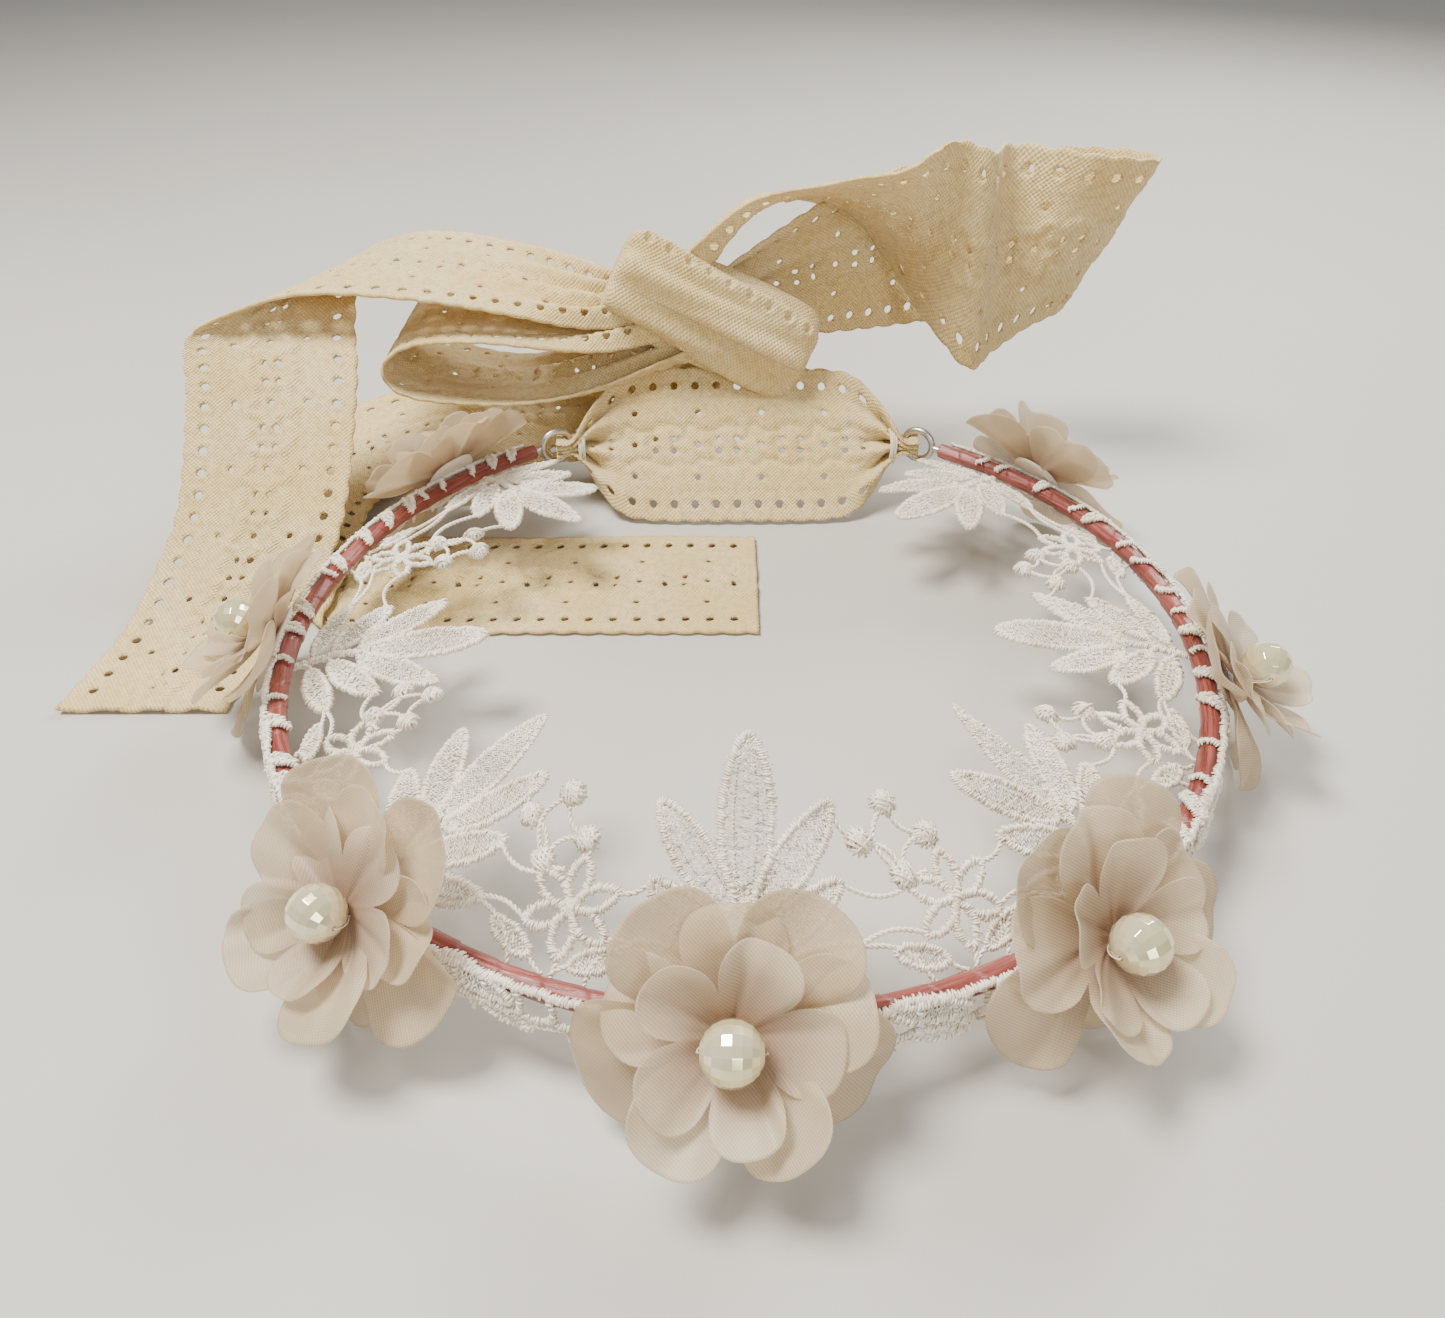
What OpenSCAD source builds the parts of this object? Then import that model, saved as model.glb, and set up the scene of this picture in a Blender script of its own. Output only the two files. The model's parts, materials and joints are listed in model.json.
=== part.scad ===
// Flower crown: a wire headband bound in satin tape, open at the back and tied with a
// cotton lace ribbon. It carries a standing trim of embroidered lace and seven organza
// flowers, each with a faceted pearl at its centre.
// The origin is the centre of the band's ring, in the plane of the wire. The front of
// the crown faces -Y and +Z is up, towards the tips of the lace.

/* [Band] */
// Radius of the band's ring, to the middle of the wire
band_radius = 82.5; // [80:0.5:86]
// Half the angle that the band covers, from the front to one end
band_half_angle = 146; // [143:1:148]
// Diameter of the core wire
wire_d = 1.6; // [1.2:0.1:2]
// Outer diameter of the tape wrapped round the wire
wrap_d = 3.6; // [3.2:0.1:3.8]
// Inner diameter of the eye bent at each end of the wire
eye_inner_d = 5.6; // [5:0.1:6.2]

/* [Lace trim] */
// Thickness of the embroidery
lace_t = 1.4; // [1:0.1:1.6]
// Height of a leaf spray above the band, measured along the lace
spray_h = 36; // [33:1:37]
// Lean of the lace towards the head at the front, from upright
front_lean = 45; // [42:1:50]
// Lean of the lace towards the head at the sides and the back
side_lean = 86; // [80:1:87]
// Depth of the lace heading that hangs over the outside of the band
heading_h = 6.5; // [5:0.5:7]

/* [Flowers] */
// Radius of the lowest layer of petals, to the tips
lower_r = 21; // [19.5:0.5:21.5]
// Radius of the middle layer of petals
middle_r = 17.5; // [16.5:0.5:18.5]
// Radius of the upper layer of petals
upper_r = 13.5; // [13:0.5:14.5]
// Thickness of the organza in one layer, with its crinkle
layer_t = 0.65; // [0.5:0.05:0.7]
// Upward tilt of a flower's axis
flower_tilt = 36; // [32:1:38]
// Diameter of a faceted pearl
pearl_d = 8; // [7.6:0.1:8.2]
// Diameter of the thread that holds a pearl
thread_d = 0.5; // [0.4:0.05:0.6]

/* [Ribbon] */
// Width of the cotton lace ribbon
ribbon_w = 36; // [34:1:36]
// Thickness of the ribbon
ribbon_t = 1; // [0.8:0.1:1.2]

/* [Hidden] */
$fn = 48;
clearance = 0.15;

// Where the sprays, the blossoms between them and the flowers sit round the band,
// in degrees from the front towards +X.
spray_names = ["front", "front_left", "front_right", "left", "right", "back_left", "back_right"];
spray_angles = [-0.5, -40.5, 42, -82, 84, -134, 134];
blossom_names = ["front_left", "front_right", "left", "right", "back_left", "back_right"];
blossom_angles = [-19.5, 21.5, -61, 63.5, -108, 108.5];
flower_names = ["front", "front_left", "front_right", "left", "right", "back_left", "back_right"];
flower_angles = [-1.5, -39, 33.5, -86, 77.5, -130, 128];
// How far each flower is turned on its own axis.
flower_turns = [0, 0, 0, 36, 0, 36, 0];
FLOWERS = len(flower_angles);
SPRAYS = len(spray_angles);
BLOSSOMS = len(blossom_angles);

function named(stem, names) = [for (name = names) str(stem, name)];

// Distances along a flower's axis, from the middle of the wire outwards.
pad_t = 0.7;
pad_r = 6;
pad_s = 2.5;
layer_pitch = layer_t + clearance;
lower_s = pad_s + pad_t + clearance;
middle_s = lower_s + layer_pitch;
upper_s = middle_s + layer_pitch;
pearl_gap = 0.3;
pearl_s = upper_s + layer_t + pearl_gap + pearl_d / 2;
// The thread runs through the pearl along the band and goes down beside it on both sides.
thread_reach = pearl_d / 2 + 0.45;
bore_d = thread_d + 0.1;
thread_hole_d = thread_d + 0.4;

eye_r = (eye_inner_d + wire_d) / 2;
eye_angle = asin(eye_r / band_radius);

// The lace stands nearly upright at the front and lies over towards the head elsewhere.
function lean(phi) = front_lean + (side_lean - front_lean) * sin(min(abs(phi) * 1.15, 90));

// Puts children at an angle round the band. There, +X runs along the band, -Y points
// outwards and +Z is up.
module on_band(phi) {
    rotate([0, 0, phi]) translate([0, -band_radius, 0]) children();
}

// Puts flat lace, drawn with +Y as its height, on the leaning plane of the trim.
module on_lace(phi) {
    on_band(phi) rotate([90 - lean(phi), 0, 0])
        translate([0, 0, -lace_t / 2]) linear_extrude(lace_t) children();
}

// Puts children on a flower's axis: +Z points out of the flower, +Y up its face.
module on_flower(index, s) {
    on_band(flower_angles[index]) rotate([90 - flower_tilt, 0, 0])
        rotate([0, 0, 180]) mirror([0, 1, 0]) translate([0, 0, s]) children();
}

// A pointed leaf between two points, made of two equal arcs.
module leaf(from, to, width) {
    length = norm(to - from);
    r = (length * length + width * width) / (4 * width);
    translate(from) rotate(atan2(to.y - from.y, to.x - from.x)) intersection() {
        translate([length / 2, width / 2 - r]) circle(r);
        translate([length / 2, r - width / 2]) circle(r);
    }
}

// A straight bride, the twisted thread that joins two motifs.
module bride(from, to, width) {
    length = norm(to - from);
    translate(from) rotate(atan2(to.y - from.y, to.x - from.x))
        translate([0, -width / 2]) square([length, width]);
}

/* Band */

module band_arc(half_angle) {
    rotate([0, 0, -90 - half_angle]) rotate_extrude(angle = 2 * half_angle, $fn = 96)
        translate([band_radius, 0]) children();
}

// The core wire, with an eye bent at each end for the ribbon.
module band_wire() {
    color("silver") {
        band_arc(band_half_angle) circle(d = wire_d);
        for (side = [-1, 1])
            on_band(side * (band_half_angle + eye_angle)) rotate([90, 0, 0])
                rotate_extrude() translate([eye_r, 0]) circle(d = wire_d);
    }
}

// Satin tape wound round the wire from end to end.
module band_wrap() {
    wrap_margin = 1.5;
    color([0.68, 0.42, 0.40]) band_arc(band_half_angle - wrap_margin) difference() {
        circle(d = wrap_d);
        circle(d = wire_d + 0.1);
    }
}

/* Lace trim */

// The net heading of the lace, sewn over the outside of the band.
module lace_heading() {
    heading_top = -0.5;
    inner_r = wrap_d / 2 + 0.1;
    thickness = 0.6;
    flare = 0.5;
    color("ivory") band_arc(band_half_angle - 3) polygon([
        [inner_r, heading_top],
        [inner_r + thickness, heading_top],
        [inner_r + thickness + flare, -heading_h],
        [inner_r + flare, -heading_h]
    ]);
}

// A spray of seven leaves on one stem.
module lace_spray(phi) {
    root_y = wrap_d / 2 + 0.6;
    leaf_w = 6.8;
    color("ivory") on_lace(phi) {
        translate([-1, root_y]) square([2, spray_h * 0.42]);
        leaf([0, spray_h * 0.38], [0, spray_h], leaf_w + 1.2);
        for (side = [-1, 1]) {
            leaf([side * 0.6, spray_h * 0.34], [side * 11.5, spray_h * 0.74], leaf_w);
            leaf([side * 0.6, spray_h * 0.22], [side * 12.5, spray_h * 0.45], leaf_w - 0.4);
            leaf([side * 0.6, spray_h * 0.12], [side * 15, spray_h * 0.22], leaf_w - 1.4);
        }
    }
}

// A small blossom of looped petals, with a ring of knotted berries above it and to the left.
// The trim is one repeat after another, so every blossom is the same way round.
module lace_blossom(phi) {
    root_y = wrap_d / 2 + 0.6;
    blossom = [1, 10.8];
    petal_l = 7;
    berries = [-4.8, 20.5];
    berry_ring = 5;
    color("ivory") on_lace(phi) {
        for (turn = [30 : 60 : 330])
            leaf(blossom, blossom + petal_l * [cos(turn), sin(turn)], 4.4);
        bride([0, root_y], blossom, 1.4);
        bride(blossom, berries, 1.4);
        for (turn = [85 : 90 : 355]) {
            berry = berries + berry_ring * [cos(turn), sin(turn)];
            translate(berry) circle(d = 4);
            bride(berries, berry, 1.2);
        }
        for (bank = [-1, 1])
            leaf([bank * 3, root_y + 1.8], [bank * 9.5, root_y + 3.8], 4.2);
        translate([-4, root_y]) square([8, 2.4]);
    }
}

/* Flowers */

// The round felt pad that each flower is sewn to.
module flower_pads() {
    color("linen") for (index = [0 : FLOWERS - 1])
        on_flower(index, pad_s) difference() {
            cylinder(r = pad_r, h = pad_t);
            thread_holes();
        }
}

module thread_holes() {
    for (side = [-1, 1])
        translate([side * thread_reach, 0, -1]) cylinder(d = thread_hole_d, h = layer_t + 3);
}

// One die-cut layer of five round petals, with the two holes that the thread passes.
module petal_layer(r, turn) {
    lobe_r = r * 0.378;
    difference() {
        rotate([0, 0, turn]) linear_extrude(layer_t) {
            circle(r = lobe_r);
            for (lobe = [0 : 4])
                rotate(lobe * 72 - 90) translate([r - lobe_r, 0]) circle(r = lobe_r);
        }
        thread_holes();
    }
}

module petals_lower(index) {
    color([0.84, 0.78, 0.71]) on_flower(index, lower_s) petal_layer(lower_r, flower_turns[index]);
}

module petals_middle(index) {
    middle_turn = 36;
    color([0.88, 0.83, 0.77]) on_flower(index, middle_s)
        petal_layer(middle_r, flower_turns[index] + middle_turn);
}

module petals_upper(index) {
    upper_turn = 14;
    color([0.91, 0.87, 0.82]) on_flower(index, upper_s)
        petal_layer(upper_r, flower_turns[index] + upper_turn);
}

// The thread of each pearl: across the pearl's bore, then down to the pad on both sides.
module pearl_threads() {
    color("white") for (index = [0 : FLOWERS - 1]) on_flower(index, 0) {
        translate([-thread_reach, 0, pearl_s]) rotate([0, 90, 0])
            cylinder(d = thread_d, h = 2 * thread_reach);
        for (side = [-1, 1]) translate([side * thread_reach, 0, 0]) {
            translate([0, 0, pad_s]) cylinder(d = thread_d, h = pearl_s - pad_s);
            translate([0, 0, pearl_s]) sphere(d = thread_d);
        }
    }
}

module pearl(index) {
    color([0.86, 0.85, 0.73]) on_flower(index, pearl_s) difference() {
        sphere(d = pearl_d);
        translate([-pearl_d, 0, 0]) rotate([0, 90, 0]) cylinder(d = bore_d, h = 2 * pearl_d);
    }
}

/* Ribbon */

// Each run of ribbon is a list of stations: the middle of the ribbon, the direction of
// its width, and its width along that direction as a part of the full width. It is less
// than 1 where the ribbon is gathered and more where it is folded on the diagonal.
tie_run = [
    [[43, 70.4, 0], [0, 0, 1], 0.12],
    [[38.5, 70.8, 0], [0, 0.2, 1], 0.12],
    [[32, 70.5, 0], [0, 0.6, 0.8], 0.65],
    [[24, 70.2, 0], [0, 0.6, 0.8], 0.96],
    [[0, 70, 0.2], [0, 0.6, 0.8], 1],
    [[-24, 70.2, 0], [0, 0.6, 0.8], 0.96],
    [[-32, 70.5, 0], [0, 0.6, 0.8], 0.65],
    [[-38.5, 70.8, 0], [0, 0.2, 1], 0.12],
    [[-43, 70.4, 0], [0, 0, 1], 0.12]
];
loop_right_run = [
    [[-8, 86, 39], [0, -1, 0.35], 0.4],
    [[4, 92, 49], [0, -1, 0.3], 0.75],
    [[20, 91, 51.5], [0, -0.92, 0.39], 1],
    [[34, 86, 49], [0, -0.75, 0.66], 1],
    [[46, 81, 44], [0, -0.1, 1], 1.15],
    [[54, 79, 39], [0, 0, 1], 1.3],
    [[60, 86, 39.5], [0, 0.1, 1], 1.25],
    [[72, 84, 41.5], [0.2, -0.1, 1], 1.1],
    [[84, 88, 42], [0.45, 0, 1], 1],
    [[83, 98, 41], [0.4, 0.15, 1], 1],
    [[64, 102, 39], [0.1, 0.2, 1], 1],
    [[30, 98, 35], [0, 0.1, 1], 0.95],
    [[-4, 86, 28], [0, 0, 1], 0.5]
];
loop_left_run = [
    [[-21, 83, 27], [0, 0.9, 0.4], 0.4],
    [[-38, 86, 25], [0, 1, 0.1], 0.8],
    [[-58, 88, 26], [0, 1, 0], 1],
    [[-74, 88, 25], [0, 1, 0], 1],
    [[-81, 88, 19], [0, 1, 0], 1],
    [[-75, 88, 12.5], [0, 1, 0], 1],
    [[-50, 87, 10], [0, 1, 0], 0.85],
    [[-19, 84, 19], [0, 0.8, 0.5], 0.4]
];
// The left tail arches over its loop and turns towards the front as it falls.
tail_left_run = [
    [[-32.4, 84.5, 30.5], [0, 0.95, 0.3], 0.5],
    [[-50, 88, 33.5], [0, 1, 0.15], 0.85],
    [[-72, 90, 36.5], [0, 1, 0.1], 1],
    [[-91, 88, 36.5], [0.25, 1, 0], 1],
    [[-101, 82, 33], [0.6, 0.8, 0], 1],
    [[-104, 72, 28], [0.9, 0.4, 0], 1],
    [[-102, 59, 20], [1, 0.1, 0], 1],
    [[-102.5, 39, 2], [1, 0, 0], 1],
    [[-106.5, 26, -8.5], [1, 0, 0], 1],
    [[-111, 13, -13.8], [1, 0, 0], 0.88],
    [[-114, -8, -14.3], [1, 0, 0], 0.88]
];
// The second tail turns flat as it falls, and is folded on the diagonal under the band.
tail_inner_run = [
    [[-2, 86, 14], [0, 0.2, 1], 0.3],
    [[-20, 92, 3], [0, 0.4, 0.9], 0.6],
    [[-44, 96, -3], [0, 0.85, 0.5], 0.85],
    [[-68, 96, -6], [0, 0.95, 0.3], 1],
    [[-92, 90, -9], [-0.5, 0.85, 0.15], 1],
    [[-104, 72, -11.5], [-0.9, 0.45, 0.05], 1],
    [[-105, 52, -12.2], [-1, 0.5, 0], 1.12],
    [[-105, 37, -12.3], [-1, 1, 0], 1.41],
    [[-104, 35, -14.4], [-1, 1, 0], 1.41],
    [[-88, 34, -14.4], [-0.4, 1, 0], 1.08],
    [[-60, 34, -14.4], [0, 1, 0], 1],
    [[4, 34, -14.4], [0, 1, 0], 1]
];
steps_a_span = 4;

function unit(v) = v / norm(v);
function smooth(a, b, c, d, t) = (2 * b + (c - a) * t + (2 * a - 5 * b + 4 * c - d) * t * t
    + (3 * b - a - 3 * c + d) * t * t * t) / 2;
function station(run, i) = run[max(0, min(len(run) - 1, i))];
function between(run, i, t, field) = smooth(station(run, i - 1)[field], station(run, i)[field],
    station(run, i + 1)[field], station(run, i + 2)[field], t);
function at(run, step, field) =
    let (i = min(floor(step / steps_a_span), len(run) - 2))
    between(run, i, step / steps_a_span - i, field);
function direction(run, step, last) =
    unit(at(run, min(step + 0.5, last), 0) - at(run, max(step - 0.5, 0), 0));

// The four corners of the ribbon's section at one step along a run. The section is
// slanted where the ribbon is folded on the diagonal.
function section(run, step, last) =
    let (middle = at(run, step, 0), across = unit(at(run, step, 1)),
         face = unit(cross(direction(run, step, last), across)),
         half = ribbon_w * at(run, step, 2) / 2)
    [for (corner = [[-1, -1], [1, -1], [1, 1], [-1, 1]])
        middle + across * corner.x * half + face * corner.y * ribbon_t / 2];

// A run of ribbon as one closed strip.
module strip(run) {
    last = (len(run) - 1) * steps_a_span;
    sections = [for (step = [0 : last]) section(run, step, last)];
    points = [for (corners = sections) each corners];
    sides = [for (step = [0 : last - 1], side = [0 : 3])
        let (a = step * 4 + side, b = step * 4 + (side + 1) % 4)
        each [[a, b, b + 4], [a, b + 4, a + 4]]];
    polyhedron(points, concat([[3, 2, 1, 0]], sides, [[last * 4, last * 4 + 1, last * 4 + 2,
        last * 4 + 3]]));
}

ribbon_colour = [0.80, 0.74, 0.57];

// The straight run of ribbon between the two ends of the band.
module tie_ribbon() {
    color(ribbon_colour) strip(tie_run);
}

// Thread wound round the gathered ribbon beside each eye of the wire.
module end_bindings() {
    binding_x = 36.8;
    inner_r = 3.6;
    outer_r = 4.3;
    color("white") for (side = [-1, 1])
        translate([side * binding_x, 71, -0.5]) rotate([0, 90, 0]) difference() {
            cylinder(r = outer_r, h = 1.6, center = true);
            cylinder(r = inner_r, h = 2, center = true);
        }
}

module bow_knot() {
    knot_r = 7;
    color(ribbon_colour) hull() {
        for (place = [[-24, 81, 30.5], [-20, 81, 39.5], [8, 81, 14.5], [12, 81, 23.5]])
            translate(place) sphere(knot_r, $fn = 24);
    }
}

module bow_loop_left() {
    color(ribbon_colour) strip(loop_left_run);
}

module bow_loop_right() {
    color(ribbon_colour) strip(loop_right_run);
}

module ribbon_tail_left() {
    color(ribbon_colour) strip(tail_left_run);
}

// The second tail falls behind the crown, passes under the band and lies inside the ring.
module ribbon_tail_inner() {
    color(ribbon_colour) strip(tail_inner_run);
}

band_wire();
band_wrap();
lace_heading();
for (i = [0 : SPRAYS - 1])
    lace_spray(spray_angles[i]);
for (i = [0 : BLOSSOMS - 1])
    lace_blossom(blossom_angles[i]);
flower_pads();
for (i = [0 : FLOWERS - 1]) {
    petals_lower(i);
    petals_middle(i);
    petals_upper(i);
    pearl(i);
}
pearl_threads();
tie_ribbon();
end_bindings();
bow_knot();
bow_loop_left();
bow_loop_right();
ribbon_tail_left();
ribbon_tail_inner();
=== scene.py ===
"""Flower crown: the looks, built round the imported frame.

Shapes are worked out in millimetres, in the frame's own axes, and turned into metres when
a mesh is made. The lace is drawn flat (u along the band, v up the lace, w off its face)
and then laid on the leaning plane of the trim.
"""
import json
import math

import bpy
import numpy as np
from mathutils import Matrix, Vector


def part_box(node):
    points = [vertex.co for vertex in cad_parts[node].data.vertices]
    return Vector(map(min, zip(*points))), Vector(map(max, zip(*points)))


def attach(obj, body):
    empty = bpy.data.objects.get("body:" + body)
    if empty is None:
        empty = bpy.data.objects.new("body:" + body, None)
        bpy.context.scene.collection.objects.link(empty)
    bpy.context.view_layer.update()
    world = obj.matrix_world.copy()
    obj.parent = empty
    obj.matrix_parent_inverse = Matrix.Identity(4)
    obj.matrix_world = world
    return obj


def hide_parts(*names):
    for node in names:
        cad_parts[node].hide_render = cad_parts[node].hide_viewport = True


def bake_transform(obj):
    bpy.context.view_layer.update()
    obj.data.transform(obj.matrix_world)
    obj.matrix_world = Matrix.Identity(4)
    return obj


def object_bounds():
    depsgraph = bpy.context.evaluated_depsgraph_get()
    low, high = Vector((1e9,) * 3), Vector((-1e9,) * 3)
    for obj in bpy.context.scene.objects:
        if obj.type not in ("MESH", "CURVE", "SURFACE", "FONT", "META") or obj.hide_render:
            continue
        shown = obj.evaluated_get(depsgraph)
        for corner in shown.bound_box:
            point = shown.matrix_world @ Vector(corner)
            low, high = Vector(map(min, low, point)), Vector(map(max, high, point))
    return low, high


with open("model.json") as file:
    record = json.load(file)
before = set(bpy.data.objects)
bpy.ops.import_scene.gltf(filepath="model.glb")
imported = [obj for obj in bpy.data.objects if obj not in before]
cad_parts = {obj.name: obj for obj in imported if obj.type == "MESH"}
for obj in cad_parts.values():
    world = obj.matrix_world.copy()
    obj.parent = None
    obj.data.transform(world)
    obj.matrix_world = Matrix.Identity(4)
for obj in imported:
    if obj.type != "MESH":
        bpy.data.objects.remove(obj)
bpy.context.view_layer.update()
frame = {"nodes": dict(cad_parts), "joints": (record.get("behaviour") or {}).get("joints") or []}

MM = 0.001
TAU = 2 * math.pi

# ---- driving dimensions, mm

band_low, band_high = (np.array(corner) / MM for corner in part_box("band_wrap"))
WRAP_R = (band_high[2] - band_low[2]) / 2
BAND_R = -band_low[1] - WRAP_R
BAND_HALF = math.radians(144.5)
FLOOR_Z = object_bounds()[0][2] / MM
FRONT_LEAN = 45
SIDE_LEAN = 86
SPRAY_H = 36
SPRAYS = {"front": -0.5, "front_left": -40.5, "front_right": 42, "left": -82, "right": 84,
          "back_left": -134, "back_right": 134}
BLOSSOMS = {"front_left": -19.5, "front_right": 21.5, "left": -61, "right": 63.5,
            "back_left": -108, "back_right": 108.5}
FLOWER_TILT = math.radians(36)
PEARL_R = 4
BORE_R = 0.34
THREAD_R = 0.11
PAD_LIFT = 2.5
BINDING_X = 36.8
BINDING_Y = 71
TAPE_LAP = 6.4
RIBBON_W = 36
RIBBON_T = 0.9
LOBES = 5

rng = np.random.default_rng(11)


# ---- meshes

def unit(v):
    v = np.asarray(v, float)
    return v / (np.linalg.norm(v, axis=-1, keepdims=True) + 1e-12)


def link(name, data):
    """A new object in the scene."""
    obj = bpy.data.objects.new(name, data)
    bpy.context.scene.collection.objects.link(obj)
    return obj


def new_object(name, verts_mm, face_sets, material, smooth=True, uv=None):
    """A mesh object from vertices in mm and a list of face arrays, one for each face size."""
    mesh = bpy.data.meshes.new(name)
    face_sets = [np.asarray(faces) for faces in face_sets if len(faces)]
    corners = np.concatenate([faces.ravel() for faces in face_sets])
    sizes = np.concatenate([np.full(len(faces), faces.shape[1]) for faces in face_sets])
    mesh.vertices.add(len(verts_mm))
    mesh.vertices.foreach_set("co", (np.asarray(verts_mm) * MM).astype(np.float32).ravel())
    mesh.loops.add(len(corners))
    mesh.loops.foreach_set("vertex_index", corners.astype(np.int32))
    mesh.polygons.add(len(sizes))
    starts = np.concatenate([[0], np.cumsum(sizes)[:-1]])
    mesh.polygons.foreach_set("loop_start", starts.astype(np.int32))
    mesh.polygons.foreach_set("use_smooth", np.full(len(sizes), smooth))
    if uv is not None:
        layer = mesh.uv_layers.new(name="UVMap")
        layer.data.foreach_set("uv", np.asarray(uv)[corners].astype(np.float32).ravel())
    mesh.update(calc_edges=True)
    mesh.validate()
    mesh.materials.append(material)
    return link(name, mesh)


def ring_walls(index):
    """Quads between rows of vertices, each row closed on itself."""
    a, b = index[:-1], index[1:]
    return np.stack([a, b, np.roll(b, -1, 1), np.roll(a, -1, 1)], -1).reshape(-1, 4)


def grid_uv(along, across):
    """A uv in metres for each vertex of a grid, from two grids in mm."""
    return np.stack(np.broadcast_arrays(along, across), -1).reshape(-1, 2) * MM


def tubes(points, radius, up=(0, 0, 1), sides=5):
    """Vertices and faces of a capped tube along each row of points (tubes, rings, 3)."""
    points = np.asarray(points, float)
    count, rings, _ = points.shape
    along = unit(np.gradient(points, axis=1))
    side = unit(np.cross(along, np.broadcast_to(up, points.shape)))
    lift = np.cross(side, along)
    radius = np.broadcast_to(radius, (count, rings))
    turn = np.arange(sides) * TAU / sides
    ring = (np.cos(turn)[:, None] * side[:, :, None, :]
            + np.sin(turn)[:, None] * lift[:, :, None, :])
    verts = points[:, :, None, :] + ring * radius[:, :, None, None]
    index = np.arange(count * rings * sides).reshape(count, rings, sides)
    a, b = index[:, :-1], index[:, 1:]
    walls = np.stack([a, np.roll(a, -1, 2), np.roll(b, -1, 2), b], -1).reshape(-1, 4)
    caps = np.concatenate([index[:, 0, ::-1], index[:, -1]])
    return verts.reshape(-1, 3), walls, caps


def compass(turn):
    """The flat direction at an angle."""
    return np.array([math.cos(turn), math.sin(turn)])


class Threads:
    """Gathers tubes of thread, and makes one object of them."""

    def __init__(self):
        self.verts, self.walls, self.caps, self.count = [], [], {}, 0

    def add(self, points, radius, up=(0, 0, 1), sides=5):
        verts, walls, caps = tubes(points, radius, up, sides)
        self.verts.append(verts)
        self.walls.append(walls + self.count)
        self.caps.setdefault(sides, []).append(caps + self.count)
        self.count += len(verts)

    def lay(self, flat, lift, radius):
        """One tube along flat points, at a height off the face of the lace."""
        lift = np.broadcast_to(lift, len(flat))
        self.add(np.concatenate([flat, lift[:, None]], -1)[None], radius)

    def make(self, name, place, material):
        verts = place(np.concatenate(self.verts))
        faces = [np.concatenate(self.walls)]
        faces += [np.concatenate(caps) for caps in self.caps.values()]
        return new_object(name, verts, faces, material)


def settle(obj, body, node):
    """Puts a piece in place of its CAD node, and rides it on its body, if any."""
    if body:
        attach(obj, body)
    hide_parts(node)


def apply_modifiers(obj):
    """Replaces the object's mesh with the one its modifiers make."""
    deps = bpy.context.evaluated_depsgraph_get()
    mesh = bpy.data.meshes.new_from_object(obj.evaluated_get(deps))
    obj.modifiers.clear()
    obj.data = mesh


# ---- materials

class Nodes:
    """A short way to write a node tree."""

    def __init__(self, name):
        self.material = bpy.data.materials.new(name)
        self.material.use_nodes = True
        self.tree = self.material.node_tree
        self.tree.nodes.clear()

    def node(self, kind, inputs=None, **settings):
        made = self.tree.nodes.new("ShaderNode" + kind)
        for key, value in settings.items():
            setattr(made, key, value)
        for key, value in (inputs or {}).items():
            if isinstance(value, bpy.types.NodeSocket):
                self.tree.links.new(value, made.inputs[key])
            else:
                made.inputs[key].default_value = value
        return made

    def math(self, operation, a, b=0.0):
        return self.node("Math", {0: a, 1: b}, operation=operation).outputs[0]

    def add(self, a, b):
        return self.math("ADD", a, b)

    def times(self, a, b):
        return self.math("MULTIPLY", a, b)

    def ramp(self, value, low, high, low_out=0.0, high_out=1.0):
        made = self.node("MapRange", {"Value": value, "From Min": low, "From Max": high,
                                      "To Min": low_out, "To Max": high_out})
        return made.outputs["Result"]

    def mix(self, factor, a, b):
        return self.node("Mix", {0: factor, 6: a, 7: b}, data_type="RGBA").outputs[2]

    def noise(self, scale, detail, vector=None):
        """Noise on the object's coordinates, if no others are given."""
        return self.node("TexNoise", {"Scale": scale, "Detail": detail, "Roughness": 0.5,
                                      "Vector": vector or self.coordinates()}).outputs["Fac"]

    def streaks(self, scale, detail):
        """Noise on the cloth's own coordinates, stretched along one of them."""
        place = self.node("Mapping", {"Vector": self.coordinates("UV"), "Scale": scale})
        return self.noise(1.0, detail, place.outputs[0])

    def bump(self, height, strength, distance):
        return self.node("Bump", {"Height": height, "Strength": strength,
                                  "Distance": distance}).outputs[0]

    def principled(self, **inputs):
        """The main shader. Underscores in the names stand for spaces."""
        named = {key.replace("_", " "): value for key, value in inputs.items()}
        return self.node("BsdfPrincipled", named).outputs[0]

    def shine_through(self, share, cloth, tint, bump):
        """Cloth that also lets a share of its light through."""
        glow = self.node("BsdfTranslucent", {"Color": tint, "Normal": bump})
        return self.node("MixShader", {0: share, 1: cloth, 2: glow.outputs[0]}).outputs[0]

    def coordinates(self, output="Object"):
        return self.node("TexCoord").outputs[output]

    def split(self, vector):
        return self.node("SeparateXYZ", {0: vector}).outputs

    def finish(self, shader):
        self.node("OutputMaterial", {"Surface": shader})
        return self.material


def colour(red, green, blue):
    """An sRGB colour, 0 to 255, as the linear colour that a socket takes."""
    parts = [c / 255 for c in (red, green, blue)]
    return tuple(c / 12.92 if c <= 0.04045 else ((c + 0.055) / 1.055) ** 2.4
                 for c in parts) + (1,)


TWILL_PITCH = 0.00056
YARN_PITCH = 0.0009


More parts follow.
